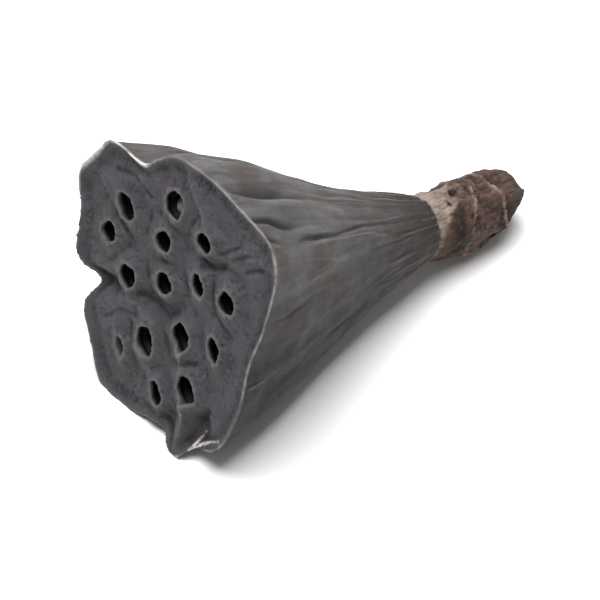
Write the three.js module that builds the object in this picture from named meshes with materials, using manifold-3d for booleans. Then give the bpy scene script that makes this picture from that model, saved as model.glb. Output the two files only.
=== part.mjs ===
// A dried lotus pod lying on its side: the grey, cone-shaped head of a lotus with its flat seed face,
// one seed loose in each full chamber of the face, and the brown stub of the stem behind it.
//
// Every piece is drawn in the pod's own frame. X runs along the axis from the middle of the face
// towards the stem, Z is up in the plane of the face, and Y is to the left as one looks into the holes.
// An angle round the axis starts at Z and grows towards Y. The whole pod is tilted onto the table last.

import * as THREE from 'three';
import { mergeVertices } from 'three/addons/utils/BufferGeometryUtils.js';
import Module from 'manifold-3d';

const wasm = await Module();
wasm.setup();

// Driving dimensions, in millimetres. Angles are in degrees.
const FACE_RADIUS = 33.9;
const POD_LENGTH = 74.5;
const NECK_RADIUS = 8;
const NECK_ROUNDING = 0.7;
const STUB_LENGTH = 30.5;
const JOINT_GAP = 0.3;
const CHAMBER_RADIUS = 4.1;
const CHAMBER_DEPTH = 16;
const THROAT_DEPTH = 1.3;
const SHOULDER_DEPTH = 4.4;
const CHAMBER_NARROWS_AT = 11.2;
const CHAMBER_END_RADIUS = 2.5;
const CHAMBER_END_DEPTH = 15;
const MOUTH_CUT_IN_FRONT = 5;
const CHAMBERS_CONVERGE = 0.006;
const BLIND_DEPTH = 3.6;
const SEED_RADIUS = 3.4;
const SEED_LENGTH = 10.5;
const SEED_DEPTH = 9.7;
const SEED_CLEARANCE = 0.3;
const SEED_AT_MOUTH_SLIMMER = 0.82;

// How the pod lies: the table's plane passes this far below the axis at the face and under the stub.
const REST_BELOW_FACE = 34.9;
const REST_BELOW_STUB = 6.6;
const STUB_REST_AT = 99;

// How finely the surfaces are divided.
const SKIN_SIDES = 84;
const FACE_RING_STEP = 2.5;
const CONE_RINGS = 13;
const CHAMBER_SIDES = 12;
const STUB_SIDES = 28;
const STUB_RINGS = 20;
const SEED_SIDES = 10;
const SEED_RINGS = 7;

// Radius of the cone at stations along the axis, from behind the rim to the neck.
const CONE_STATIONS = [
  [1.6, FACE_RADIUS - 0.1],
  [8, 32.1],
  [15, 29.9],
  [25, 26.0],
  [38, 20.4],
  [56, 13.7],
  [67, 10.2],
  [POD_LENGTH - NECK_ROUNDING, NECK_RADIUS],
];

// The dried rim has corners, lobes and folds. Each is a bell round the axis: where it stands, its
// half width in degrees, how far it reaches outwards, and how far it runs down the cone.
const RIM_FEATURES = [
  { name: 'left corner of the top', at: 74, width: 9, out: 5.3, run: 24 },
  { name: 'right corner of the top', at: 53, width: 9, out: 5.3, run: 24 },
  { name: 'straight edge between them', at: 63.5, width: 6, out: 1.9, run: 24 },
  { name: 'dip beside the top', at: 37, width: 11, out: -3.3, run: 16 },
  { name: 'shoulder', at: 318, width: 15, out: 5.0, run: 24 },
  { name: 'flattened side', at: 268, width: 24, out: -5.8, run: 38 },
  { name: 'low shoulder', at: 222, width: 12, out: 2.5, run: 20 },
  { name: 'pinched fold at the bottom', at: 201, width: 7, out: 4.2, run: 14 },
  { name: 'slit beside the pinched fold', at: 188, width: 8, out: -1.5, run: 18 },
  { name: 'bottom lobe', at: 157, width: 13, out: 3.6, run: 20 },
  { name: 'notch', at: 117, width: 6, out: -5.0, run: 22 },
];

const FEATURES_END_FROM = 45;

// The rim also leans out of the plane of the face, forwards where the lean is positive.
const RIM_LEANS = [
  { name: 'top corners curl forwards', at: 63, width: 20, lean: 1.4 },
  { name: 'shoulder bends back', at: 330, width: 34, lean: -1.2 },
  { name: 'pinched fold juts forwards', at: 202, width: 9, lean: 1.4 },
  { name: 'notch is drawn back', at: 117, width: 9, lean: -1.5 },
];
const LEAN_RUNS_BACK = 5;
const LEAN_GATHERS_AT_RIM = 6;
const REACH_GATHERS_AT_RIM = 1.5;

// Long folds that run down the cone: angle, half width in degrees, height (a groove is negative),
// the stretch of the axis that they fade in and out over, and how they drift round the axis.
const CONE_FOLDS = [
  { at: 347, width: 5, height: -1.1, from: 1, to: 26, drift: -4 },
  { at: 2, width: 7, height: 0.9, from: 3, to: 44, drift: -6 },
  { at: 331, width: 4, height: -0.9, from: 5, to: 22, drift: 2 },
  { at: 341, width: 6, height: 0.7, from: 6, to: 50, drift: -3 },
  { at: 302, width: 7, height: -0.6, from: 8, to: 52, drift: 5 },
  { at: 283, width: 6, height: 0.6, from: 4, to: 48, drift: 4 },
  { at: 250, width: 7, height: -0.9, from: 2, to: 46, drift: 3 },
  { at: 231, width: 6, height: 0.8, from: 6, to: 56, drift: -3 },
  { at: 176, width: 6, height: -0.8, from: 3, to: 44, drift: 3 },
  { at: 137, width: 7, height: -0.8, from: 4, to: 50, drift: -4 },
  { at: 98, width: 6, height: 0.7, from: 5, to: 46, drift: 4 },
  { at: 84, width: 6, height: -0.8, from: 2, to: 40, drift: 3 },
  { at: 28, width: 6, height: 0.7, from: 4, to: 52, drift: -5 },
  { at: 16, width: 6, height: -0.8, from: 3, to: 40, drift: -3 },
  { at: 44, width: 35, height: 0.9, from: 8, to: 30, drift: 0 },
  { at: 44, width: 35, height: -1.3, from: 30, to: 58, drift: 0 },
];

const FOLDS_START_WITHIN = 4;

// The mouths in the face: place, size across and along, how far the long way leans from Z towards Y,
// and how far the seed inside has moved out towards the mouth.
const HOLES = [
  { y: 20.9, z: 11.6, across: 5.0, along: 6.8, lean: 50, out: 0 },
  { y: 24.4, z: 2.4, across: 4.6, along: 5.2, lean: 0, out: 0 },
  { y: 6.6, z: 21.8, across: 5.8, along: 6.6, lean: 0, out: 3.4 },
  { y: 7.0, z: 11.1, across: 5.2, along: 5.0, lean: 30, out: 0.4 },
  { y: -5.6, z: 19.1, across: 5.2, along: 4.8, lean: 30, out: 0 },
  { y: 15.3, z: -4.2, across: 5.2, along: 5.6, lean: 40, out: 0.8 },
  { y: 3.6, z: 1.5, across: 5.2, along: 5.2, lean: 20, out: 0 },
  { y: -6.7, z: 7.9, across: 3.8, along: 5.6, lean: 38, out: 0 },
  { y: -16.8, z: 9.6, across: 4.8, along: 5.6, lean: 34, out: 0.5 },
  { y: 4.7, z: -15.4, across: 5.6, along: 7.2, lean: 20, out: 0 },
  { y: -5.8, z: -7.4, across: 5.4, along: 7.0, lean: 18, out: 0 },
  { y: -16.6, z: -3.8, across: 3.6, along: 6.2, lean: 28, out: 0 },
  { y: -2.5, z: -25.4, across: 3.6, along: 5.8, lean: 28, out: 0 },
  { y: -11.6, z: -18.4, across: 5.8, along: 6.8, lean: 28, out: 0 },
];

// One chamber never filled: its mouth is a shallow slit with no seed.
const BLIND_HOLE = { y: 12.2, z: -22.0, across: 2.8, along: 4.8, lean: 28 };

// Ridges and creases of the shrunken face, each along a line of points (y, z).
const FACE_STROKES = [
  { height: -1.5, width: 2.0, path: [[10.3, -6.3], [5.7, -5.3], [0.4, -4.4], [-3.0, -2.2]] },
  { height: 0.8, width: 2.0, path: [[12.5, -8.6], [6.0, -9.6], [0.5, -9.0]] },
  { height: 1.0, width: 1.8, path: [[-7.2, -11.9], [-9.4, -15.0]] },
  { height: 1.3, width: 1.9, path: [[-12.4, -22.6], [-13.2, -33.0]] },
  { height: 0.8, width: 1.8, path: [[7.7, -19.4], [2.0, -21.8]] },
  { height: 0.8, width: 2.4, path: [[4.2, 31.0], [-1.6, 25.4], [-8.6, 23.0], [-15.0, 20.6], [-25.0, 25.6]] },
  { height: -1.0, width: 1.7, path: [[-6.0, 13.4], [-12.4, 16.6]] },
  { height: -0.9, width: 1.6, path: [[-17.4, 21.6], [-24.0, 22.6]] },
  { height: -2.6, width: 2.4, path: [[30.0, -15.4], [24.0, -12.0], [20.2, -10.4]] },
  { height: -2.4, width: 2.4, path: [[-17.6, -24.0], [-18.4, -32.0]] },
  { height: -1.8, width: 2.2, path: [[-7.4, -28.4], [-7.0, -34.0]] },
  { height: 0.9, width: 2.2, path: [[30.0, 14.0], [22.0, 18.0], [14.0, 24.0]] },
];

// The surface that is left between the mouths sinks a little as it dries, and the lips stand out.
const FACE_SAG = 0.9;
const LIP_HEIGHT = 0.9;
const LIP_WIDTH = 2.3;
const RIM_GROOVE_DEPTH = 0.7;
const RIM_GROOVE_WIDTH = 4.5;
const STROKES_FADE_AT_RIM = 2.5;

// The stem stub: its radius at stations along the axis, the bands and lengthwise wrinkles round it,
// and its blunt end, which slants and rises a little.
const STUB_START = POD_LENGTH + JOINT_GAP;
const STUB_STATIONS = [
  [STUB_START, 7.2],
  [STUB_START + 0.6, 7.9],
  [80, 8.3],
  [87, 8.6],
  [93, 8.4],
  [98, 7.7],
  [101.8, 6.0],
  [104.2, 3.3],
  [POD_LENGTH + STUB_LENGTH, 0],
];
const STUB_BANDS = [
  { at: 82, width: 1.4, height: -0.5 },
  { at: 86.2, width: 1.1, height: 0.6 },
  { at: 90.5, width: 1.6, height: -0.5 },
  { at: 94.8, width: 1.0, height: 0.5 },
  { at: 98.5, width: 1.0, height: 0.5 },
];
const BAND_WAVE = 0.8;
const STUB_SIDE_WRINKLES = 7;
const STUB_WRINKLE_HEIGHT = 0.35;
const STUB_WRINKLES_FROM = STUB_START + 0.5;
const STUB_WRINKLES_FULL = 81;
const STUB_WRINKLES_FADE = 98;
const STUB_WRINKLES_END = 103;
const STUB_END_SLANT = 0.2;
const STUB_SLANT_FROM = 90;
const STUB_SLANT_UP = 44;
const STUB_RISE = 1.5;

const radians = THREE.MathUtils.degToRad;
const smoothstep = THREE.MathUtils.smoothstep;

// A bell is 1 in its middle and fades to both sides over its half width.
function bell(offset, width) {
  return Math.exp(-((offset / width) ** 2));
}

// The shortest turn from one angle to another, between -180 and 180.
function turnTo(angle, from) {
  return THREE.MathUtils.euclideanModulo(angle - from + 180, 360) - 180;
}

// What the rim's bells add to the radius at an angle and a place along the axis.
function rimShape(angle, along) {
  let reach = 0;
  for (const feature of RIM_FEATURES) {
    const left = Math.exp(-Math.max(along, 0) / feature.run);
    reach += feature.out * left * bell(turnTo(angle, feature.at), feature.width);
  }
  return reach * (1 - smoothstep(along, FEATURES_END_FROM, POD_LENGTH));
}

function rimLean(angle) {
  let lean = 0;
  for (const feature of RIM_LEANS) {
    lean += feature.lean * bell(turnTo(angle, feature.at), feature.width);
  }
  return lean;
}

function foldHeight(angle, along) {
  let height = 0;
  for (const fold of CONE_FOLDS) {
    const middle = (fold.from + fold.to) / 2;
    const reach = (fold.to - fold.from) / 2;
    const centre = fold.at + fold.drift * (along - middle) / reach;
    height += fold.height * bell(along - middle, reach) * bell(turnTo(angle, centre), fold.width);
  }
  return height * smoothstep(along, 0, FOLDS_START_WITHIN);
}

// How far a point of the face is from a line of points.
function distanceToPath(point, path) {
  const line = new THREE.Line3();
  const nearest = new THREE.Vector3();
  let least = Infinity;
  for (let i = 0; i + 1 < path.length; i += 1) {
    line.start.set(...path[i], 0);
    line.end.set(...path[i + 1], 0);
    line.closestPointToPoint(point, true, nearest);
    least = Math.min(least, nearest.distanceTo(point));
  }
  return least;
}

// A point of the face in a hole's own frame: x across the mouth and y along it.
function inHoleFrame(hole, y, z) {
  const turn = radians(hole.lean);
  const offset = new THREE.Vector2(y - hole.y, z - hole.z);
  return offset.rotateAround(new THREE.Vector2(), turn);
}

// How far a point lies outside the edge of a mouth.
function distanceToMouth(hole, y, z) {
  const local = inHoleFrame(hole, y, z);
  const size = Math.hypot(local.x / (hole.across / 2), local.y / (hole.along / 2));
  const meanRadius = (hole.across + hole.along) / 4;
  return (size - 1) * meanRadius;
}

// Height of the face above its own plane, towards the front. The strokes fade out at the rim.
function faceHeight(y, z, toRim) {
  const point = new THREE.Vector3(y, z, 0);
  let strokes = 0;
  for (const stroke of FACE_STROKES) {
    strokes += stroke.height * bell(distanceToPath(point, stroke.path), stroke.width);
  }
  let lips = 0;
  for (const hole of [...HOLES, BLIND_HOLE]) {
    lips = Math.max(lips, bell(Math.max(distanceToMouth(hole, y, z), 0), LIP_WIDTH));
  }
  const inside = smoothstep(toRim, 0, RIM_GROOVE_WIDTH);
  const groove = RIM_GROOVE_DEPTH * 4 * inside * (1 - inside);
  const relief = inside * (LIP_HEIGHT * lips - FACE_SAG) - groove;
  return relief + strokes * smoothstep(toRim, -STROKES_FADE_AT_RIM, STROKES_FADE_AT_RIM);
}

// Moves every corner of a lathe, given as radius, angle and place along its axis, to where the
// function puts it in the pod's frame, and leaves only one corner where several meet. The lathe's
// axis changes places with X, which mirrors it, so each triangle is turned over too.
function reshapeLathe(lathe, place) {
  lathe.deleteAttribute('normal');
  lathe.deleteAttribute('uv');
  lathe.index.array.reverse();
  const corners = lathe.getAttribute('position');
  for (let i = 0; i < corners.count; i += 1) {
    const x = corners.getX(i);
    const z = corners.getZ(i);
    const radius = Math.hypot(x, z);
    const angle = radius > 1e-6 ? THREE.MathUtils.radToDeg(Math.atan2(x, z)) : 0;
    const placed = place(radius, angle, corners.getY(i));
    corners.setXYZ(i, placed.x, placed.y, placed.z);
  }
  return mergeVertices(lathe, 1e-4);
}

function aroundAxis(radius, angle, along) {
  const turn = radians(angle);
  return new THREE.Vector3(along, radius * Math.sin(turn), radius * Math.cos(turn));
}

// Height of the table under the pod, in the pod's frame, as a plane that rises towards the stem.
const tableTilt = Math.atan((REST_BELOW_FACE - REST_BELOW_STUB) / STUB_REST_AT);

function toSolid(geometry) {
  const vertProperties = geometry.getAttribute('position').array;
  const triVerts = new Uint32Array(geometry.index.array);
  return new wasm.Manifold(new wasm.Mesh({ numProp: 3, vertProperties, triVerts }));
}

function toGeometry(solid) {
  const mesh = solid.getMesh();
  const geometry = new THREE.BufferGeometry();
  geometry.setAttribute('position', new THREE.BufferAttribute(mesh.vertProperties, 3));
  geometry.setIndex(new THREE.BufferAttribute(mesh.triVerts, 1));
  return geometry;
}

// The ground as a block whose top is the table's plane, for cutting the small flats it rests on.
function groundBlock() {
  const size = 4 * POD_LENGTH;
  const block = new THREE.BoxGeometry(size, size, size);
  block.deleteAttribute('normal');
  block.deleteAttribute('uv');
  block.translate(0, 0, -size / 2);
  block.rotateY(-tableTilt);
  block.translate(0, 0, -REST_BELOW_FACE);
  return toSolid(mergeVertices(block));
}

// The body of the pod: the seed face, the rim and the cone down to the neck, as one closed skin.
function podSkin() {
  const profile = [new THREE.Vector2(0, 0)];
  const rings = Math.round(FACE_RADIUS / FACE_RING_STEP);
  for (let ring = 1; ring <= rings; ring += 1) {
    profile.push(new THREE.Vector2(FACE_RADIUS * ring / rings, 0));
  }
  const stations = CONE_STATIONS.map(([along, radius]) => new THREE.Vector2(radius, along));
  profile.push(...new THREE.SplineCurve(stations).getPoints(CONE_RINGS));
  profile.push(new THREE.Vector2(NECK_RADIUS - NECK_ROUNDING, POD_LENGTH));
  profile.push(new THREE.Vector2(0, POD_LENGTH));
  const lathe = new THREE.LatheGeometry(profile, SKIN_SIDES);
  return reshapeLathe(lathe, (radius, angle, along) => {
    const reach = rimShape(angle, along);
    if (along > 0) {
      const fold = along < POD_LENGTH ? foldHeight(angle, along) : 0;
      const lean = rimLean(angle) * Math.exp(-along / LEAN_RUNS_BACK);
      return aroundAxis(radius === 0 ? 0 : radius + reach + fold, angle, along - lean);
    }
    const share = radius / FACE_RADIUS;
    const placed = aroundAxis(radius + reach * share ** REACH_GATHERS_AT_RIM, angle, 0);
    placed.x = -faceHeight(placed.y, placed.z, FACE_RADIUS - radius);
    placed.x -= rimLean(angle) * share ** LEAN_GATHERS_AT_RIM;
    return placed;
  });
}

// The hollow of one chamber: an oval mouth, a wider room for the seed, and a rounded end. It starts
// in front of the face, so that it opens there, and leans in towards the axis as the cone narrows.
function chamberHollow(hole, depth) {
  const profile = [
    new THREE.Vector2(0, -MOUTH_CUT_IN_FRONT),
    new THREE.Vector2(1, -MOUTH_CUT_IN_FRONT),
    new THREE.Vector2(1, THROAT_DEPTH),
  ];
  if (depth > BLIND_DEPTH) {
    profile.push(new THREE.Vector2(CHAMBER_RADIUS, SHOULDER_DEPTH));
    profile.push(new THREE.Vector2(CHAMBER_RADIUS, CHAMBER_NARROWS_AT));
    profile.push(new THREE.Vector2(CHAMBER_END_RADIUS, CHAMBER_END_DEPTH));
  }
  profile.push(new THREE.Vector2(0, depth));
  const lathe = new THREE.LatheGeometry(profile, CHAMBER_SIDES);
  return toSolid(reshapeLathe(lathe, (radius, angle, along) => {
    const turn = radians(angle);
    const offset = new THREE.Vector2(Math.sin(turn), Math.cos(turn)).multiplyScalar(radius);
    if (radius > 0 && radius <= 1) {
      offset.multiply(new THREE.Vector2(hole.across / 2, hole.along / 2));
      offset.rotateAround(new THREE.Vector2(), -radians(hole.lean));
    }
    return atDepth(hole, along, offset);
  }));
}

// A point at a depth behind a mouth, with an offset from the middle of the chamber there.
function atDepth(hole, depth, offset) {
  const inwards = 1 - CHAMBERS_CONVERGE * Math.max(depth, 0);
  return new THREE.Vector3(depth, hole.y * inwards + offset.x, hole.z * inwards + offset.y);
}

function makePod() {
  let solid = toSolid(podSkin());
  for (const hole of HOLES) {
    solid = solid.subtract(chamberHollow(hole, CHAMBER_DEPTH));
  }
  solid = solid.subtract(chamberHollow(BLIND_HOLE, BLIND_DEPTH));
  return toGeometry(solid.subtract(groundBlock()));
}

// The dried stem stub: swollen and wrinkled, with raised and sunken bands round it.
function makeStub() {
  const stations = STUB_STATIONS.map(([along, radius]) => new THREE.Vector2(radius, along));
  const profile = [
    new THREE.Vector2(0, STUB_START),
    ...new THREE.SplineCurve(stations).getPoints(STUB_RINGS),
  ];
  profile.at(-1).x = 0;
  const lathe = new THREE.LatheGeometry(profile, STUB_SIDES);
  const skin = reshapeLathe(lathe, (radius, angle, along) => {
    const wrinkled = smoothstep(along, STUB_WRINKLES_FROM, STUB_WRINKLES_FULL)
      * (1 - smoothstep(along, STUB_WRINKLES_FADE, STUB_WRINKLES_END));
    const sway = Math.sin(along / 5);
    let wrinkle = STUB_WRINKLE_HEIGHT * Math.sin(radians(angle) * STUB_SIDE_WRINKLES + sway);
    for (const band of STUB_BANDS) {
      const offset = along - band.at - BAND_WAVE * Math.sin(radians(angle * 2));
      wrinkle += band.height * bell(offset, band.width);
    }
    const placed = aroundAxis(radius + wrinkle * wrinkled, angle, along);
    const upwards = Math.cos(radians(angle - STUB_SLANT_UP)) * radius;
    const towardsEnd = smoothstep(along, STUB_SLANT_FROM, POD_LENGTH + STUB_LENGTH);
    placed.x += STUB_END_SLANT * upwards * towardsEnd;
    placed.z += STUB_RISE * towardsEnd;
    return placed;
  });
  return toGeometry(toSolid(skin).subtract(groundBlock()));
}

// A seed: egg-shaped, lying loose on the low wall of its chamber.
function makeSeed(hole) {
  const outline = new THREE.EllipseCurve(0, 0, SEED_RADIUS, SEED_LENGTH / 2, -Math.PI / 2, Math.PI / 2);
  const profile = outline.getPoints(SEED_RINGS);
  profile[0].x = 0;
  profile.at(-1).x = 0;
  const drop = CHAMBER_RADIUS * Math.cos(Math.PI / CHAMBER_SIDES) - SEED_RADIUS - SEED_CLEARANCE;
  const middle = SEED_DEPTH - hole.out;
  const lathe = new THREE.LatheGeometry(profile, SEED_SIDES);
  return reshapeLathe(lathe, (radius, angle, along) => {
    const turn = radians(angle);
    const slim = hole.out > 1 && along < 0 ? SEED_AT_MOUTH_SLIMMER : 1;
    const offset = new THREE.Vector2(Math.sin(turn), Math.cos(turn)).multiplyScalar(radius * slim);
    offset.y -= drop;
    return atDepth(hole, middle + along, offset);
  });
}

const podMaterial = new THREE.MeshStandardMaterial({ color: 0x4d4b4a, roughness: 0.88, metalness: 0 });
const stubMaterial = new THREE.MeshStandardMaterial({ color: 0x5f4a40, roughness: 0.82, metalness: 0 });
const seedMaterial = new THREE.MeshStandardMaterial({ color: 0x2e2926, roughness: 0.6, metalness: 0 });

// Everything lies in one group that is tilted until the rim and the stub both touch the table.
const laidDown = new THREE.Group();
laidDown.rotation.y = tableTilt;

function addPiece(name, geometry, material) {
  const piece = new THREE.Mesh(geometry, material);
  piece.name = name;
  laidDown.add(piece);
}

addPiece('pod', makePod(), podMaterial);
addPiece('stem_stub', makeStub(), stubMaterial);
HOLES.forEach((hole, index) => {
  addPiece(`seed_${String(index + 1).padStart(2, '0')}`, makeSeed(hole), seedMaterial);
});

// The origin is below the middle of the pod's box, on the table.
const group = new THREE.Group();
group.add(laidDown);
const box = new THREE.Box3().setFromObject(group, true);
laidDown.position.set(-(box.min.x + box.max.x) / 2, -(box.min.y + box.max.y) / 2, -box.min.z);

export default group;
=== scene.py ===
# %% [markdown]
# A dried lotus pod, the grey cone-shaped head that is left when a lotus has finished flowering.
# This lesson dresses a plain, faceted model of it, which is loaded as a fixed frame, with the shrunken
# skin, the torn mouths, the fibres and the wrinkled stem of the real one. Everything is in metres, and
# the sizes we think in are millimetres, so they are multiplied by MM where they meet Blender.

from math import atan, cos, pi, radians, sin
from types import SimpleNamespace

import bpy
import numpy as np
from mathutils import Matrix, Vector, noise


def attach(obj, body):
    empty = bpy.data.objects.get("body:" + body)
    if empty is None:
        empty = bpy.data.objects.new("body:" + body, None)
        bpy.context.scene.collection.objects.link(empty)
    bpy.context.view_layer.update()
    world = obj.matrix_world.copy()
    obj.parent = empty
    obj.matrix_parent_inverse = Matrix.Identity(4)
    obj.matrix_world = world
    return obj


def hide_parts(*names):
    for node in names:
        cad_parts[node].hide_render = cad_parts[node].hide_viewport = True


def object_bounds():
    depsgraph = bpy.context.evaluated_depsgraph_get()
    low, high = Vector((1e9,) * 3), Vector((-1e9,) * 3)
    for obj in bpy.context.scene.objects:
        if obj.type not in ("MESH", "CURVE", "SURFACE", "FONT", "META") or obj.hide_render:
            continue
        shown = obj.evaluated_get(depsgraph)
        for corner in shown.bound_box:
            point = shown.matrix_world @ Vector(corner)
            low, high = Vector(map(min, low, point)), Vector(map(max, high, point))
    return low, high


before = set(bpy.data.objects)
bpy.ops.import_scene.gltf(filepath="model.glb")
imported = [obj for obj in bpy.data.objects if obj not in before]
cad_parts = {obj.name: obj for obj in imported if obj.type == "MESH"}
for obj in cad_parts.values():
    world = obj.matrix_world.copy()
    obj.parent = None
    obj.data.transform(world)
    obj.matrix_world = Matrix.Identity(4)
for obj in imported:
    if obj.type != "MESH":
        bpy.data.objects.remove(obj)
cad_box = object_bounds()
scene = bpy.context.scene
MM = 0.001
print("the frame holds", sorted(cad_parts))


# %% [markdown]
# The photograph looks down on the pod at about 44 degrees, from the side of its seed face. A long lens
# far away keeps the shape free of perspective, as a small thing photographed from a distance is. The
# camera is made first, because everything else is judged through it.

# %% Camera
VIEW_AZIMUTH = -38
VIEW_ELEVATION = 44
VIEW_DISTANCE = 3.45
LENS_MM = 900
VIEW_CENTRE = Vector((-10.3, -6.1, 13.4)) * MM

view_side = radians(-VIEW_AZIMUTH)
view_height = radians(VIEW_ELEVATION)
level_share = cos(view_height)
towards_camera = Vector((-sin(view_side) * level_share, -cos(view_side) * level_share, sin(view_height)))
camera_data = bpy.data.cameras.new("camera")
camera_data.lens = LENS_MM
camera = bpy.data.objects.new("camera", camera_data)
camera.location = VIEW_CENTRE + towards_camera * VIEW_DISTANCE
camera.rotation_euler = towards_camera.to_track_quat("Z", "Y").to_euler()
scene.collection.objects.link(camera)
scene.camera = camera
print("camera at", [round(value, 3) for value in camera.location])


# %% [markdown]
# The pod leans: its axis falls from the seed face to the stem until both touch the table. All pieces are
# modelled in the pod's own frame, where X runs along the axis from the middle of the face, Z is up in the
# plane of the face and Y is to the left. An angle round the axis starts at Z and grows towards Y. The
# frame's own neck, a flat disc, tells where the axis really lies.

# %% The pod's own frame
POD_LENGTH = 74.5
REST_BELOW_FACE = 34.9
REST_BELOW_STUB = 6.6
STUB_REST_AT = 99
NECK_DISC_DEPTH = 0.02

tilt = atan((REST_BELOW_FACE - REST_BELOW_STUB) / STUB_REST_AT)
axis = np.array([cos(tilt), 0, -sin(tilt)])
up_in_face = np.array([sin(tilt), 0, cos(tilt)])
left = np.array([0, 1, 0])


def corners_of(mesh):
    """All corners of a mesh as rows of x, y, z in metres."""
    flat = np.empty(len(mesh.vertices) * 3)
    mesh.vertices.foreach_get("co", flat)
    return flat.reshape(-1, 3)


def set_corners(mesh, corners):
    mesh.vertices.foreach_set("co", corners.ravel())
    mesh.update()


cad_corners = corners_of(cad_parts["pod"].data)
along_axis = cad_corners @ axis
neck_disc = cad_corners[along_axis > along_axis.max() - NECK_DISC_DEPTH * MM]
neck_centre = np.unique(neck_disc.round(6), axis=0).mean(axis=0)
face_centre = neck_centre - axis * POD_LENGTH * MM
own_axes = Matrix(np.column_stack([axis, left, up_in_face]).tolist()).to_4x4()
lie_down = Matrix.Translation(face_centre) @ own_axes
print("the face's middle is at", face_centre.round(4), "m")
print("the axis falls by", np.degrees(tilt).round(1), "degrees")


# %% [markdown]
# Small helpers for moving corners by formula. A bell fades smoothly to both sides of its middle, and a
# smooth step climbs from 0 to 1 between two values. Both work on whole arrays of corners at once.

# %% Helpers for shapes by formula
SEEDS_APART = 17.3


def bell(offset, width):
    return np.exp(-(offset / width) ** 2)


def smoothstep(value, low, high):
    share = np.clip((value - low) / (high - low), 0, 1)
    return share * share * (3 - 2 * share)


def turn_to(angle, start):
    """The shortest turn from one angle to another, between -180 and 180 degrees."""
    return (angle - start + 180) % 360 - 180


def smooth_curve(points, steps):
    """A smooth curve through the points, as many steps long as asked for."""
    points = np.array(points, float)
    places = np.linspace(0, len(points) - 1, steps + 1)
    curve = []
    for place in places:
        first = min(int(place), len(points) - 2)
        share = place - first
        before, here, after, beyond = points[np.clip(np.arange(first - 1, first + 3), 0, len(points) - 1)]
        bend_here = (after - before) / 2
        bend_after = (beyond - here) / 2
        curve.append((2 * share**3 - 3 * share**2 + 1) * here + (share**3 - 2 * share**2 + share) * bend_here
                     + (3 * share**2 - 2 * share**3) * after + (share**3 - share**2) * bend_after)
    return np.array(curve)


def cloud(places, size, octaves=2, seed=0):
    """Soft random heights, about -1 to 1, that rise and fall over the given size. Each seed has its own."""
    shift = SEEDS_APART * seed
    return np.array([noise.fractal((x / size + shift, y / size - shift, z / size + shift), 0.6, 2.0, octaves)
                     for x, y, z in places.tolist()])


def creases(places, size, width, octaves=2, seed=0):
    """Thin winding lines: 1 along each line and 0 away from it, with the width as a share of the size."""
    return bell(cloud(places, size, octaves, seed), width)


# %% [markdown]
# Four small helpers do what the hand would do: select one piece and nothing else, draw a chain of points by
# extruding one corner after another, spin that chain round the pod's axis, and apply a modifier. Three more
# turn places into along, radius and angle, and back. Corners less than a hair apart count as one.

# %% Helpers for modelling
HAIR = 0.01


def select_only(piece):
    bpy.ops.object.select_all(action="DESELECT")
    piece.select_set(True)
    bpy.context.view_layer.objects.active = piece


def draw_chain(name, points):
    """An open chain of edges through points given in millimetres as (along the axis, radius)."""
    places = [Vector((along, 0, radius)) * MM for along, radius in points]
    bpy.ops.object.select_all(action="DESELECT")
    bpy.ops.mesh.primitive_plane_add(size=MM, location=places[0])
    piece = bpy.context.object
    piece.name = name
    bpy.ops.object.transform_apply(location=True)
    bpy.ops.object.mode_set(mode="EDIT")
    bpy.ops.mesh.select_all(action="SELECT")
    bpy.ops.mesh.merge(type="CENTER")
    for start, end in zip(places, places[1:]):
        bpy.ops.mesh.extrude_vertices_move(TRANSFORM_OT_translate={"value": end - start})
    return piece


def spin_chain(piece, sides):
    """Turns the chain round the axis into a closed skin whose faces look outwards."""
    bpy.ops.mesh.select_all(action="SELECT")
    bpy.ops.mesh.spin(steps=sides, angle=2 * pi, center=(0, 0, 0), axis=(1, 0, 0))
    bpy.ops.mesh.select_all(action="SELECT")
    bpy.ops.mesh.remove_doubles(threshold=HAIR * MM)
    bpy.ops.mesh.normals_make_consistent(inside=False)
    bpy.ops.object.mode_set(mode="OBJECT")
    return piece


def apply_modifier(piece, kind, **settings):
    select_only(piece)
    modifier = piece.modifiers.new(kind.title(), kind)
    for name, value in settings.items():
        setattr(modifier, name, value)
    bpy.ops.object.modifier_apply(modifier=modifier.name)


def round_axis(corners):
    """Along, radius and angle in degrees of corners in the pod's own frame, in millimetres."""
    along, y, z = (corners / MM).T
    return along, np.hypot(y, z), np.degrees(np.arctan2(y, z))


def from_axis(along, radius, angle):
    turn = np.radians(angle)
    return np.column_stack([along, radius * np.sin(turn), radius * np.cos(turn)]) * MM


def on_tube(radius, turn, along):
    """Places on a plain tube, for patterns that follow a skin."""
    return np.column_stack([radius * np.cos(turn), radius * np.sin(turn), along])


# %% [markdown]
# The head of a lotus grows as a smooth cone and shrinks as it dries. The rim then buckles into corners,
# lobes, a notch and one pinched fold, and long folds run from it down the cone. Each is written down as a
# bell: where it stands round the axis, how wide it is, how far it reaches and how far it runs.

# %% The shape of the shrunken cone
FACE_RADIUS = 33.9
NECK_RADIUS = 8.0
NECK_ROUNDING = 0.7
CONE_STATIONS = [(1.6, FACE_RADIUS - 0.1), (8, 32.1), (15, 29.9), (25, 26.0), (38, 20.4), (56, 13.7),
                 (67, 10.2), (POD_LENGTH - NECK_ROUNDING, NECK_RADIUS)]
FEATURES_END_FROM = 45

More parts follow.
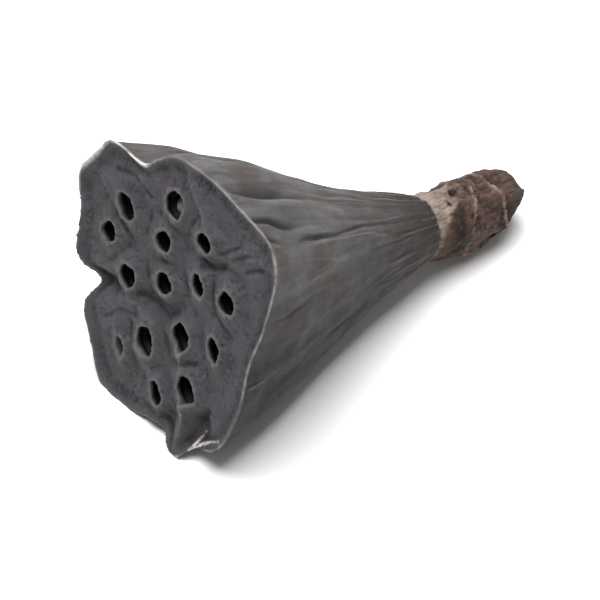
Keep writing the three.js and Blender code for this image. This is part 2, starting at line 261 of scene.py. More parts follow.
# Angle and half width in degrees, reach outwards and run down the cone in millimetres.
RIM_FEATURES = {
    "left corner of the top": (74, 9, 5.3, 24),
    "right corner of the top": (53, 9, 5.3, 24),
    "straight edge between them": (63.5, 6, 1.9, 24),
    "dip beside the top": (37, 11, -3.3, 16),
    "shoulder": (318, 15, 5.0, 24),
    "flattened side": (268, 24, -5.8, 38),
    "low shoulder": (222, 12, 2.5, 20),
    "pinched fold at the bottom": (201, 7, 4.2, 14),
    "slit beside the pinched fold": (188, 8, -1.5, 18),
    "bottom lobe": (157, 13, 3.6, 20),
    "notch": (117, 6, -5.0, 22),
}
# Angle and half width in degrees, and the lean towards the front in millimetres.
RIM_LEANS = {
    "top corners curl forwards": (63, 20, 1.4),
    "shoulder bends back": (330, 34, -1.2),
    "pinched fold juts forwards": (202, 9, 1.4),
    "notch is drawn back": (117, 9, -1.5),
}
LEAN_RUNS_BACK = 5
# Angle, half width, height, start and end along the axis, and drift round it.
CONE_FOLDS = [
    (347, 5, -1.1, 1, 26, -4), (2, 7, 0.9, 3, 44, -6), (331, 4, -0.9, 5, 22, 2), (341, 6, 0.7, 6, 50, -3),
    (302, 7, -0.6, 8, 52, 5), (283, 6, 0.6, 4, 48, 4), (250, 7, -0.9, 2, 46, 3), (231, 6, 0.8, 6, 56, -3),
    (176, 6, -0.8, 3, 44, 3), (137, 7, -0.8, 4, 50, -4), (98, 6, 0.7, 5, 46, 4), (84, 6, -0.8, 2, 40, 3),
    (28, 6, 0.7, 4, 52, -5), (16, 6, -0.8, 3, 40, -3), (44, 35, 0.9, 8, 30, 0), (44, 35, -1.3, 30, 58, 0),
]
FOLDS_START_WITHIN = 4
cone_curve = smooth_curve(CONE_STATIONS, 90)


def rim_shape(angle, along):
    reach = np.zeros_like(angle)
    for at, width, out, run in RIM_FEATURES.values():
        reach += out * np.exp(-np.maximum(along, 0) / run) * bell(turn_to(angle, at), width)
    return reach * (1 - smoothstep(along, FEATURES_END_FROM, POD_LENGTH))


def rim_lean(angle):
    return sum(lean * bell(turn_to(angle, at), width) for at, width, lean in RIM_LEANS.values())


def fold_height(angle, along):
    height = np.zeros_like(angle)
    for at, width, fold, start, end, drift in CONE_FOLDS:
        middle, reach = (start + end) / 2, (end - start) / 2
        centre = at + drift * (along - middle) / reach
        height += fold * bell(along - middle, reach) * bell(turn_to(angle, centre), width)
    return height * smoothstep(along, 0, FOLDS_START_WITHIN)


def cone_radius(angle, along):
    """Radius of the outer skin, in millimetres."""
    plain = np.interp(along, cone_curve[:, 0], cone_curve[:, 1])
    return plain + rim_shape(angle, along) + fold_height(angle, along)


rim = cone_radius(np.arange(360.0), np.zeros(360))
print("the rim reaches from", rim.min().round(1), "to", rim.max().round(1), "mm from the axis")


# %% [markdown]
# Each seed's chamber opens in the face through an oval mouth with a raised lip. Between the mouths the face
# has sunk into creases, with ridges left standing. The mouths lie in front of the frame's seeds, so their
# places are measured there, and one empty slit is added.

# %% The mouths of the chambers
# Size across and along each mouth in millimetres, how far its long way leans from Z towards Y, and how
# pointed its ends are: 0 is an oval, more is a slit, and less is nearly square.
MOUTH_SIZES = [
    (5.0, 6.8, 50, 0.0), (4.6, 5.2, 0, 0.2), (5.8, 6.6, 0, -0.3), (5.2, 5.0, 30, 0.3), (5.2, 4.8, 30, 0.2),
    (5.2, 5.6, 40, 0.0), (5.2, 5.2, 20, 0.1), (3.8, 5.6, 38, 0.35), (4.8, 5.6, 34, 0.1), (5.6, 7.2, 20, -0.1),
    (5.4, 7.0, 18, 0.4), (3.6, 6.2, 28, 0.3), (3.6, 5.8, 28, 0.0), (5.8, 6.8, 28, -0.1),
]
CHAMBERS_CONVERGE = 0.006
SEED_DROP = 0.26
BLIND_MOUTH = (12.2, -22.0, 2.8, 4.8, 28, 0.2)

into_pod = np.array(lie_down.inverted())
mouths = []
for number, size_and_lean in enumerate(MOUTH_SIZES, start=1):
    seed_corners = corners_of(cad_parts[f"seed_{number:02d}"].data)
    in_pod = (seed_corners @ into_pod[:3, :3].T + into_pod[:3, 3]) / MM
    middle = (in_pod.min(axis=0) + in_pod.max(axis=0)) / 2
    inwards = 1 - CHAMBERS_CONVERGE * middle[0]
    mouths.append((middle[1] / inwards, (middle[2] + SEED_DROP) / inwards, *size_and_lean))
mouths.append(BLIND_MOUTH)
print(len(mouths), "mouths, the first at", np.round(mouths[0][:2], 1), "mm")


# %% The relief of the face
# Height and half width in millimetres, and the line of points (y, z) that each stroke follows.
FACE_STROKES = [
    (-1.5, 2.0, [(10.3, -6.3), (5.7, -5.3), (0.4, -4.4), (-3.0, -2.2)]),
    (0.8, 2.0, [(12.5, -8.6), (6.0, -9.6), (0.5, -9.0)]),
    (1.0, 1.8, [(-7.2, -11.9), (-9.4, -15.0)]),
    (1.3, 1.9, [(-12.4, -22.6), (-13.2, -33.0)]),
    (0.8, 1.8, [(7.7, -19.4), (2.0, -21.8)]),
    (0.8, 2.4, [(4.2, 31.0), (-1.6, 25.4), (-8.6, 23.0), (-15.0, 20.6), (-25.0, 25.6)]),
    (-1.0, 1.7, [(-6.0, 13.4), (-12.4, 16.6)]),
    (-0.9, 1.6, [(-17.4, 21.6), (-24.0, 22.6)]),
    (-2.6, 2.4, [(30.0, -15.4), (24.0, -12.0), (20.2, -10.4)]),
    (-2.4, 2.4, [(-17.6, -24.0), (-18.4, -32.0)]),
    (-1.8, 2.2, [(-7.4, -28.4), (-7.0, -34.0)]),
    (0.9, 2.2, [(30.0, 14.0), (22.0, 18.0), (14.0, 24.0)]),
]
FACE_SAG = 0.9
LIP_HEIGHT = 0.9
LIP_WIDTH = 2.3
RIM_GROOVE_DEPTH = 0.7
RIM_GROOVE_WIDTH = 4.5
STROKES_FADE_AT_RIM = 2.5
REACH_GATHERS_AT_RIM = 1.5
LEAN_GATHERS_AT_RIM = 6


def distance_to_path(y, z, path):
    """Distance from each point to the nearest place on a line of points."""
    least = np.full(len(y), np.inf)
    for (y0, z0), (y1, z1) in zip(path, path[1:]):
        length = (y1 - y0) ** 2 + (z1 - z0) ** 2
        share = np.clip(((y - y0) * (y1 - y0) + (z - z0) * (z1 - z0)) / length, 0, 1)
        least = np.minimum(least, np.hypot(y - y0 - share * (y1 - y0), z - z0 - share * (z1 - z0)))
    return least


def distance_to_mouth(y, z, mouth):
    """How far each point lies outside the edge of a mouth; it is negative inside."""
    mouth_y, mouth_z, across, along, lean, _ = mouth
    turn = radians(lean)
    over = (y - mouth_y) * cos(turn) - (z - mouth_z) * sin(turn)
    length = (y - mouth_y) * sin(turn) + (z - mouth_z) * cos(turn)
    return (np.hypot(over / (across / 2), length / (along / 2)) - 1) * (across + along) / 4


def nearest_mouth(y, z):
    return np.min([distance_to_mouth(y, z, mouth) for mouth in mouths], axis=0)


def stroke_height(strokes, y, z):
    return sum(height * bell(distance_to_path(y, z, path), width) for height, width, path in strokes)


def face_height(y, z, to_rim):
    """Height of the face above its own plane, towards the front, in millimetres."""
    lips = bell(np.maximum(nearest_mouth(y, z), 0), LIP_WIDTH)
    inside = smoothstep(to_rim, 0, RIM_GROOVE_WIDTH)
    groove = RIM_GROOVE_DEPTH * 4 * inside * (1 - inside)
    fading = smoothstep(to_rim, -STROKES_FADE_AT_RIM, STROKES_FADE_AT_RIM)
    strokes = stroke_height(FACE_STROKES, y, z) * fading
    return inside * (LIP_HEIGHT * lips - FACE_SAG) - groove + strokes


# %% [markdown]
# The skin starts as half an outline, drawn as a chain of points from the middle of the face over the rim to
# the neck, and spun like a pot. A sphere or a cone would have its rings in the wrong places; this way they
# lie close where the form is busy. Then every corner is moved by the formulas above.

# %% Turn the skin of the pod
FACE_RINGS = 42
SKIN_SIDES = 320

face_outline = [(0, FACE_RADIUS * ring / FACE_RINGS) for ring in range(FACE_RINGS + 1)]
neck_outline = [(POD_LENGTH, NECK_RADIUS - NECK_ROUNDING), (POD_LENGTH, 4), (POD_LENGTH, 0)]
pod = spin_chain(draw_chain("lotus_pod", face_outline + cone_curve.tolist() + neck_outline), SKIN_SIDES)
print("the turned skin has", len(pod.data.polygons), "faces")

# %% Shrink it into the dried form
along, radius, angle = round_axis(corners_of(pod.data))
reach = rim_shape(angle, along)
on_face = along < HAIR
share = radius / FACE_RADIUS

face_radius = radius + reach * share ** REACH_GATHERS_AT_RIM
turn = np.radians(angle)
height = face_height(face_radius * np.sin(turn), face_radius * np.cos(turn), FACE_RADIUS - radius)
face_along = -height - rim_lean(angle) * share ** LEAN_GATHERS_AT_RIM

before_end = along < POD_LENGTH - HAIR
skin_radius = radius + np.where(before_end, reach + fold_height(angle, along), 0)
skin_along = along - rim_lean(angle) * np.exp(-along / LEAN_RUNS_BACK)

new_along = np.where(on_face, face_along, skin_along)
new_radius = np.where(on_face, face_radius, skin_radius)
shaped = from_axis(new_along, new_radius, angle)
set_corners(pod.data, shaped)
print("the dried skin is", (np.ptp(shaped, axis=0) / MM).round(1), "mm long, wide and high")


# %% [markdown]
# Behind each mouth is a chamber wider than the mouth, so that the seed rattles but can't fall out until the
# lip tears. A tool with the form of that hollow is spun and copied to each mouth, its front is squeezed to
# the mouth's pointed oval, and one Boolean takes them all out of the skin.

# %% Cut the chambers
CHAMBER_SIDES = 40
SQUEEZED_UNTIL = 0.7
ROUND_FROM = 4.0
CHAMBER_OUTLINE = [(-5, 1), (-2, 1), (0.7, 1.02), (1.6, 1.5), (3.0, 3.1), (4.6, 4.0), (7.5, 4.1), (11.0, 4.1),
                   (13.6, 3.4), (15.4, 2.0), (16.0, 0.6)]
BLIND_OUTLINE = [(-5, 1), (-2, 1), (0.6, 1.0), (1.8, 0.8), (3.0, 0.45), (3.6, 0.1)]


def chamber_tool(name, outline):
    side = smooth_curve(outline, 4 * len(outline)).tolist()
    return spin_chain(draw_chain(name, [(side[0][0], 0), *side, (side[-1][0], 0)]), CHAMBER_SIDES)


def fit_to_mouth(tool, mouth, number):
    """Squeezes the front of a tool to one mouth and moves it there. Torn lips are never quite oval."""
    mouth_y, mouth_z, across, length, lean, pointedness = mouth
    along, radius, angle = round_axis(corners_of(tool.data))
    turn = np.radians(angle)
    ragged = 1 + 0.05 * np.sin(3 * turn + number) + 0.03 * np.sin(5 * turn + 2.3 * number)
    over = np.sin(turn) * (np.abs(np.sin(turn)) + 0.01) ** pointedness * across / 2 * ragged
    upwards = np.cos(turn) * length / 2 * ragged
    lean_turn = radians(lean)
    mouth_over = over * cos(lean_turn) + upwards * sin(lean_turn)
    mouth_up = upwards * cos(lean_turn) - over * sin(lean_turn)
    roundness = smoothstep(along, SQUEEZED_UNTIL, ROUND_FROM) if number else np.zeros_like(along)
    y = radius * ((1 - roundness) * mouth_over + roundness * np.sin(turn))
    z = radius * ((1 - roundness) * mouth_up + roundness * np.cos(turn))
    inwards = 1 - CHAMBERS_CONVERGE * np.maximum(along, 0)
    set_corners(tool.data, np.column_stack([along, mouth_y * inwards + y, mouth_z * inwards + z]) * MM)


model_tool = chamber_tool("chamber_tool", CHAMBER_OUTLINE)
blind_tool = chamber_tool("blind_tool", BLIND_OUTLINE)
tools = []
for number, mouth in enumerate(mouths[:-1], start=1):
    tool = model_tool.copy()
    tool.data = model_tool.data.copy()
    scene.collection.objects.link(tool)
    fit_to_mouth(tool, mouth, number)
    tools.append(tool)
fit_to_mouth(blind_tool, BLIND_MOUTH, 0)
bpy.data.objects.remove(model_tool)

select_only(blind_tool)
for tool in tools:
    tool.select_set(True)
bpy.ops.object.join()
apply_modifier(pod, "BOOLEAN", operation="DIFFERENCE", solver="MANIFOLD", object=blind_tool)
bpy.data.objects.remove(blind_tool)
print("with its chambers the pod has", len(pod.data.polygons), "faces")


# %% [markdown]
# A Boolean leaves long thin faces and knife-sharp edges. A voxel remesh lays a new skin of small, even
# squares over the form, which rounds the lips as drying does and gives the fine relief even ground.

# %% Lay an even skin over the form
VOXEL = 0.38
apply_modifier(pod, "REMESH", mode="VOXEL", voxel_size=VOXEL * MM)
apply_modifier(pod, "SMOOTH", factor=0.5, iterations=2)
print("the even skin has", len(pod.data.polygons), "faces of about", VOXEL, "mm")


# %% [markdown]
# Sculpting by formula needs to know where each corner stands: how deep below the cone's skin or the face,
# how far from the rim, how far from the nearest mouth. A grain place is the cone's skin unrolled at the rim
# and squeezed along its length, so that whatever is drawn on it comes out as fibres that run to the neck.

# %% Where each corner stands
def stand(corners):
    """Everything the relief and the colours need to know of each corner, in millimetres, by plain names."""
    along, radius, angle = round_axis(corners)
    y, z = corners[:, 1] / MM, corners[:, 2] / MM
    lean = rim_lean(angle)
    rim_radius = cone_radius(angle, np.zeros_like(along))
    share = np.clip(radius / rim_radius, 0, 1)
    unleaned = along + lean * np.exp(-np.maximum(along, 0) / LEAN_RUNS_BACK)
    below_skin = cone_radius(angle, np.maximum(unleaned, 0)) - radius
    face_place = -face_height(y, z, FACE_RADIUS * (1 - share)) - lean * share ** LEAN_GATHERS_AT_RIM
    below_face = along - face_place
    inside_rim = rim_radius - radius
    behind_rim = along + lean
    return SimpleNamespace(
        along=along, radius=radius, angle=angle, turn=np.radians(angle), y=y, z=z,
        below_face=below_face, below_skin=below_skin,
        inside_rim=inside_rim, behind_rim=behind_rim, to_rim=np.hypot(inside_rim, behind_rim),
        on_cone=(1 - smoothstep(below_skin, 0.6, 1.8)) * smoothstep(behind_rim, 0.3, 2.2),
        on_face=(1 - smoothstep(below_face, 0.9, 2.4)) * smoothstep(inside_rim, 0.2, 1.6),
    )


def grain_place(at, stretch):
    """The cone's skin unrolled at the rim, with its length squeezed by the stretch."""
    return on_tube(FACE_RADIUS, at.turn, at.along / stretch)


at = stand(corners_of(pod.data))
places = corners_of(pod.data) / MM
print(int((at.on_cone > 0.5).sum()), "corners on the cone and", int((at.on_face > 0.5).sum()), "on the face")


# %% [markdown]
# The cone's skin is drawn tight over veins that run from the rim to the neck. Between them it sank and
# puckered, most of all behind the rim, where there was most flesh to lose. The deepest furrows are drawn one
# by one, each from one place on the skin to another, because the eye finds them at once in the photograph.

# %% Relief of the cone
# Start and end as (along, angle), then height and half width in millimetres.
CONE_FURROWS = [
    ((-3, 334), (20, 329), -1.3, 1.4), ((-3, 325), (8, 322), -0.8, 1.0), ((14, 321), (34, 325), -1.2, 1.1),
    ((30, 323), (50, 331), -0.6, 1.0), ((0, 353), (27, 348), -1.2, 1.9), ((6, 343), (38, 338), 0.7, 2.2),
    ((31, 253), (43, 254), -0.5, 1.0), ((47, 272), (57, 270), -0.5, 0.8), ((7, 249), (26, 248), -0.7, 1.6),
    ((3, 292), (23, 295), -0.5, 1.1), ((53, 294), (64, 293), -0.5, 0.8), ((2, 24), (27, 21), -0.6, 1.3),
    ((8, 66), (40, 60), -0.6, 1.5), ((0, 101), (22, 104), -0.7, 1.4), ((18, 128), (46, 124), -0.5, 1.2),
    ((0, 172), (19, 169), -0.7, 1.2), ((14, 196), (43, 190), -0.6, 1.3), ((2, 214), (21, 216), -0.6, 1.2),
    ((36, 88), (64, 80), -0.4, 1.0), ((40, 12), (66, 4), -0.4, 0.9), ((26, 160), (57, 166), -0.4, 1.1),
]
FURROW_TAPER = 0.4
COLLAR_FROM = 71.5


def furrow_height(at, furrow, wander):
    """A furrow that wanders a little and tapers to both ends."""
    (start_along, start_angle), (end_along, end_angle), height, width = furrow
    share = (at.along - start_along) / (end_along - start_along)
    angle = start_angle + np.clip(share, 0, 1) * turn_to(end_angle, start_angle)
    sideways = np.radians(turn_to(at.angle, angle)) * at.radius + wander
    return height * bell(sideways, width) * bell(share - 0.5, FURROW_TAPER)


unrolled = grain_place(at, 7)
wander = 1.6 * cloud(grain_place(at, 2), 8, seed=17)
fibrous = 0.25 + 0.75 * smoothstep(cloud(grain_place(at, 2), 14, seed=16), -0.15, 0.35)
veins = creases(unrolled, 8.5, 0.11)
wide_part = smoothstep(at.radius, 7, 16)
puckered_part = bell(at.behind_rim - 2, 7)
neck_part = smoothstep(at.along, 48, 66)
# Each line has a height, the stretch of its grain, its size and the width of its creases.
cone_relief = 0.18 * veins * fibrous
cone_relief += 0.30 * cloud(grain_place(at, 4), 9, seed=1)
cone_relief += 0.50 * cloud(places, 13, seed=2)
cone_relief -= 0.18 * creases(grain_place(at, 9), 10, 0.07, seed=3) * fibrous
cone_relief -= 0.08 * creases(grain_place(at, 12), 2.4, 0.17, seed=4) * wide_part * fibrous
cone_relief -= 0.14 * creases(grain_place(at, 3), 4.0, 0.15, seed=5) * puckered_part * fibrous
cone_relief -= 0.05 * creases(grain_place(at, 0.6), 2.4, 0.2, seed=6) * neck_part
furrows = np.array([furrow_height(at, furrow, wander) for furrow in CONE_FURROWS])
cone_relief += furrows.sum(axis=0)
collar = smoothstep(at.along, COLLAR_FROM, POD_LENGTH)
cone_relief += collar * (0.15 + 0.5 * cloud(grain_place(at, 400), 9, seed=18))
print("the cone's relief goes from", cone_relief.min().round(2), "to", cone_relief.max().round(2), "mm")


# %% [markdown]
# On the face every chamber has its own small dome, and the skin between them creased where two domes meet:
# that is where the nearest mouth and the next nearest are equally far. Round each mouth the skin is
# gathered in radial puckers up to a thin raised lip, and everywhere it is finely crinkled like leather.

# %% Relief of the face
# Fine ridges and creases, written down as the strokes above are.
FINE_STROKES = [
    (0.5, 0.8, [(-7.4, -11.4), (-9.2, -14.6)]),
    (0.6, 0.9, [(-12.4, -22.4), (-13.8, -29.4)]),
    (-0.8, 0.9, [(-18.7, -19.8), (-16.4, -24.0), (-15.2, -30.0)]),
    (0.6, 0.8, [(-18.0, -26.4), (-17.2, -31.0)]),
    (0.6, 0.8, [(-25.0, -24.0), (-21.0, -27.6), (-18.2, -30.0)]),
    (-0.5, 0.7, [(-5.6, 12.1), (-8.5, 13.7), (-11.5, 15.5)]),
    (-0.45, 0.7, [(-14.7, 20.0), (-18.2, 23.4), (-21.4, 25.3)]),
    (-0.45, 0.7, [(-19.4, 19.7), (-23.4, 22.9)]),
    (-0.4, 0.6, [(-10.5, 19.0), (-15.0, 23.6)]),
    (0.4, 1.0, [(5.5, 31.2), (-3.3, 23.7), (-8.6, 19.1), (-12.9, 17.6)]),
    (-0.4, 0.7, [(11.3, -6.9), (6.2, -6.4), (1.2, -6.3), (-2.0, -3.4)]),
    (0.35, 0.8, [(13.6, -9.4), (9.0, -9.2), (3.4, -9.8)]),
    (-0.35, 0.7, [(27.0, 18.0), (21.0, 20.0), (15.4, 17.6)]),
    (-0.35, 0.7, [(26.0, -10.6), (19.6, -11.4), (15.0, -9.8)]),
    (-0.3, 0.7, [(20.0, -19.0), (16.4, -14.6), (10.6, -12.4)]),
]
DOME_HEIGHT = 0.5
DOME_REACH = 5.0
CELL_CREASE_DEPTH = 0.38
CELL_CREASE_WIDTH = 1.3
PUCKER_HEIGHT = 0.24
LIP_EDGE_HEIGHT = 0.24

to_each_mouth = np.array([distance_to_mouth(at.y, at.z, mouth) for mouth in mouths])
nearest = to_each_mouth.argmin(axis=0)
to_mouth, to_next_mouth = np.sort(to_each_mouth, axis=0)[:2]
mouth_middles = np.array([mouth[:2] for mouth in mouths])
round_mouth = np.arctan2(at.z - mouth_middles[nearest, 1], at.y - mouth_middles[nearest, 0])
patch = smoothstep(cloud(places, 7, seed=7), -0.25, 0.3)

face_relief = DOME_HEIGHT * (1 - smoothstep(to_mouth, 0, DOME_REACH))
between_mouths = bell(to_next_mouth - to_mouth, CELL_CREASE_WIDTH)
face_relief -= CELL_CREASE_DEPTH * between_mouths * patch * bell(to_mouth - 2.5, 2.8)
folds = np.abs(np.sin(round_mouth * (7 + nearest * 3 % 5) / 2 + nearest)) - 0.6
face_relief += PUCKER_HEIGHT * folds * bell(to_mouth - 1.1, 1.3)
lip_wave = 0.8 + 0.5 * np.sin(3 * round_mouth + 2 * nearest)
face_relief += LIP_EDGE_HEIGHT * bell(to_mouth - 0.35, 0.55) * lip_wave
face_relief -= 0.16 * creases(places, 3.6, 0.13, 3, seed=8) * patch
face_relief -= 0.09 * creases(places, 1.5, 0.2, 2, seed=9)
face_relief += 0.30 * cloud(places, 6, seed=10)
flat_grain = grain_place(at, 400)
near_rim = bell(at.inside_rim - 3.5, 3.2)
face_relief -= 0.15 * creases(flat_grain, 4.6, 0.13, seed=11) * near_rim * patch
face_relief += stroke_height(FINE_STROKES, at.y, at.z)
face_relief *= smoothstep(to_mouth, -0.8, 0.0)
print("the face's relief goes from", face_relief.min().round(2), "to", face_relief.max().round(2), "mm")


# %% [markdown]
# The rim dried into a thin wavy edge that stands a little proud of both the cone and the face. It is worn
# through to the pale pith at the top corners and at the fold below.

# %% Relief of the rim, and moving every corner at once
RIM_EDGE_HEIGHT = 0.5
RIM_EDGE_WIDTH = 1.0

rim_wave = 0.8 + 0.5 * cloud(flat_grain, 4.2, seed=12)
rim_relief = RIM_EDGE_HEIGHT * bell(at.to_rim, RIM_EDGE_WIDTH) * rim_wave
rim_relief += 0.3 * cloud(flat_grain, 9, seed=13) * bell(at.to_rim, 4)

outwards = at.on_cone * cone_relief + rim_relief
forwards = at.on_face * face_relief + 0.6 * rim_relief
push = np.column_stack([-forwards, outwards * np.sin(at.turn), outwards * np.cos(at.turn)])
set_corners(pod.data, corners_of(pod.data) + push * MM)
print("the furthest corner moved", np.linalg.norm(push, axis=1).max().round(2), "mm")


# %% [markdown]
# Colour follows the form: edges are worn pale, creases and hollows are darkened with painted shade, and the
# chambers are painted nearly black inside, partly their own dark colour and partly painted shade. Where each
# corner stands is written on the mesh as attributes, which the material reads later. How far a corner
# stands out from its neighbours is measured over a small and a large ring, for edges and for hollows.

# %% Write down what the colours need
def write_attributes(piece, grain, **named_values):
    """Writes each named value, and the places of the grain, on the corners of a piece."""
    for name, values in named_values.items():
        attribute = piece.data.attributes.new(name, "FLOAT", "POINT")
        attribute.data.foreach_set("value", values.astype(np.float32))
    attribute = piece.data.attributes.new("grain", "FLOAT_VECTOR", "POINT")
    attribute.data.foreach_set("vector", (grain * MM).astype(np.float32).ravel())


def stands_out(piece, rounds):
    """How far each corner stands out from the average of its surroundings, in millimetres."""
    edges = np.empty(len(piece.data.edges) * 2, np.int32)
    piece.data.edges.foreach_get("vertices", edges)
    starts, ends = np.concatenate([edges.reshape(-1, 2), edges.reshape(-1, 2)[:, ::-1]]).T
    corners = corners_of(piece.data)
    neighbours = np.bincount(starts, minlength=len(corners))
    spread = corners.copy()
    for _ in range(rounds):
        sums = [np.bincount(starts, spread[ends, way], len(corners)) for way in range(3)]
        spread = np.column_stack(sums) / neighbours[:, None]
    normals = np.empty(len(corners) * 3)
    piece.data.vertices.foreach_get("normal", normals)
    return ((corners - spread) * normals.reshape(-1, 3)).sum(axis=1) / MM


# Angle round the rim and how worn the edge is there.
RIM_WEAR = [(0, 0.2), (18, 0.1), (32, 0.3), (37, 1.0), (53, 1.0), (64, 1.0), (76, 1.0), (82, 0.4), (96, 0.1),
            (117, 0.1), (150, 0.1), (190, 0.1), (200, 0.3), (207, 0.6), (216, 0.5), (224, 0.4), (230, 0.25),
            (242, 0.2), (259, 0.3), (277, 0.35), (295, 0.4), (309, 0.4), (318, 0.25), (331, 0.3), (349, 0.25)]
# Worn lines on the face: how pale and how wide they start, and the points (y, z) they follow while they fade.
WORN_STROKES = [
    (1.1, 0.42, [(-17.0, -31.4), (-17.6, -28.6), (-18.3, -26.0)]),
    (1.1, 0.42, [(-17.2, -31.2), (-19.4, -28.6), (-21.8, -26.4), (-25.2, -23.6)]),
    (0.3, 0.6, [(-12.4, -23.0), (-13.6, -28.0)]), (0.25, 0.6, [(-7.6, -10.9), (-8.6, -13.8)]),
]

wear_angles, wear_shares = np.array(RIM_WEAR).T
wear_width = 0.65 + 0.3 * bell(turn_to(at.angle, 68), 10)
rim_worn = np.interp(at.angle, wear_angles, wear_shares, period=360) * bell(at.to_rim, wear_width)
rim_worn *= 0.75 + 0.6 * cloud(places, 1.6, seed=14)
ragged = cloud(places, 1.3, 3, seed=15)
at_surface = 1 - smoothstep(at.below_face, 0.8, 2.0)
for strength, width, path in WORN_STROKES:
    from_start = np.hypot(at.y - path[0][0], at.z - path[0][1])
    fading = 1 - 0.5 * smoothstep(from_start, 0, np.hypot(*np.subtract(path[-1], path[0])))
    line = strength * fading * bell(distance_to_path(at.y, at.z, path) + 0.4 * ragged, width * fading)
    rim_worn = np.maximum(rim_worn, line * (0.9 + 0.9 * ragged) * at_surface)
write_attributes(
    pod, unrolled,
    worn=np.clip(rim_worn, 0, 1),
    edge=stands_out(pod, 3),
    hollow=stands_out(pod, 24),
    vein=veins * fibrous,
    furrow=np.clip(-furrows.min(axis=0), 0, 1) * at.on_cone,
    # Painted shade: the skin is darker where it faces down.
    unbleached=1 - smoothstep(np.cos(at.turn), 0.0, 0.95),
    collar=smoothstep(at.along, 73.2, 74.3),
    on_face=smoothstep(at.inside_rim, -0.3, 1.0) * (1 - smoothstep(at.below_face, 1.2, 2.6)),
    lip=at.on_face * bell(to_mouth - 0.3, 0.9),
    in_chamber=smoothstep(at.below_face, 0.7, 3.0) * smoothstep(at.below_skin, 1.2, 2.2),
    towards_neck=np.clip(at.along / POD_LENGTH, 0, 1),
)
print("the corners of the pod now carry", len(pod.data.attributes), "attributes")

# %% Keep the corners where the form is busy
MOST_TRIANGLES = 192000
apply_modifier(pod, "DECIMATE", ratio=MOST_TRIANGLES / (2 * len(pod.data.polygons)))
print("the pod keeps", len(pod.data.polygons), "triangles")


# %% [markdown]
# The stem broke off behind the head, and its stub dried to a swollen, wrinkled knob. It is spun like the
# skin, with more rings, and wrinkled by formula: furrows along it, sharp ridges slanting round it, a patch
# beside the neck where the bark has torn off the pale fibres, and small pits. Its end broke into a few blunt
# facets, so the knob is cut back to whichever facet comes first, and the broken ground is rough and dark.

# %% Turn the stem stub
STUB_START = POD_LENGTH - 0.1
STUB_END = 105
STUB_STATIONS = [(STUB_START, 7.3), (STUB_START + 0.9, 7.9), (80, 8.3), (87, 8.6), (93, 8.4), (98, 7.9),
                 (101, 7.2), (103.4, 5.4), (104.6, 3.2), (STUB_END, 0)]
STUB_RINGS = 130
STUB_SIDES = 240
stub_side = smooth_curve(STUB_STATIONS, STUB_RINGS)[:-1].tolist()
stub_outline = [(STUB_START, 0), (STUB_START, 4), *stub_side, (STUB_END, 0)]
stub = spin_chain(draw_chain("stem_stub_skin", stub_outline), STUB_SIDES)
along, radius, angle = round_axis(corners_of(stub.data))
turn = np.radians(angle)
print("the turned stub has", len(stub.data.polygons), "faces")

# %% Wrinkle the stem stub
# Ridges have a start and end as (along, angle), a height and a half width.
STUB_RIDGES = [((87.4, 350), (84.9, 300), 0.5, 0.6), ((93.2, 356), (95.6, 264), 0.5, 0.65),
               ((87.6, 130), (86.0, 40), 0.45, 0.9), ((95.4, 220), (94.2, 110), 0.45, 0.8),
               ((84.6, 250), (86.4, 170), 0.45, 0.9), ((90.6, 80), (92.4, 20), 0.35, 0.8)]
# Grooves have a place, half width and height, and pits a place, angle, depth and half width.
STUB_GROOVES = [(82, 1.6, -0.35), (90.4, 2.0, -0.35)]
STUB_PITS = [(83.2, 4, 0.9, 1.0), (79.6, 341, 0.5, 0.7), (88.4, 150, 0.6, 0.9)]
STUB_SIDE_WRINKLES = 7
STUB_WRINKLE_HEIGHT = 0.35
STUB_RISES_FROM = 90
STUB_RISE = 0.8
STUB_BENDS_FROM = 78
STUB_BENDS_UNTIL = 97
STUB_BEND = 1.1
# The facets of the broken end: which way round the axis each falls back, how steeply, and where its plane
# meets the axis.
STUB_FACETS = [(225, 1.4, 103.4), (310, 2.0, 115), (12, 0.7, 106.0), (120, 0.8, 107)]
TIP_FROM = 102
END_COLOUR_REACHES = 2.2
BARK_RADIUS = 8
BARK_STRETCH = 3.2

bark_place = on_tube(BARK_RADIUS, turn, along / BARK_STRETCH)
even_place = on_tube(BARK_RADIUS, turn, along)
torn_until = 75 + 9.5 * bell(turn_to(angle, 15), 55) + 1.6 * cloud(bark_place, 1.6, 3, seed=1)
torn = 1 - smoothstep(along, torn_until - 0.35, torn_until + 0.35)
body = smoothstep(along, STUB_START + 0.4, 79) * smoothstep(radius, 4.0, 7.0)

ridge_lines = np.zeros_like(along)
rough = np.zeros_like(along)
for (start_along, start_angle), (end_along, end_angle), height, width in STUB_RIDGES:
    sweep = turn_to(end_angle, start_angle)
    share = turn_to(angle, start_angle) / sweep
    middle = start_along + share * (end_along - start_along) + 0.7 * cloud(even_place, 3.5, seed=2)
    line = bell(along - middle, width) * smoothstep(share, -0.35, 0.15) * (1 - smoothstep(share, 0.75, 1.4))
    line *= 0.75 + 0.6 * cloud(even_place, 2.2, seed=8) + 0.5 * cloud(even_place, 0.7, 2, seed=12)
    rough += height * line
    ridge_lines = np.maximum(ridge_lines, line)
pits = np.zeros_like(along)
for pit_along, pit_angle, depth, width in STUB_PITS:
    sideways = np.radians(turn_to(angle, pit_angle)) * BARK_RADIUS
    pits += depth * bell(np.hypot(along - pit_along, sideways), width)

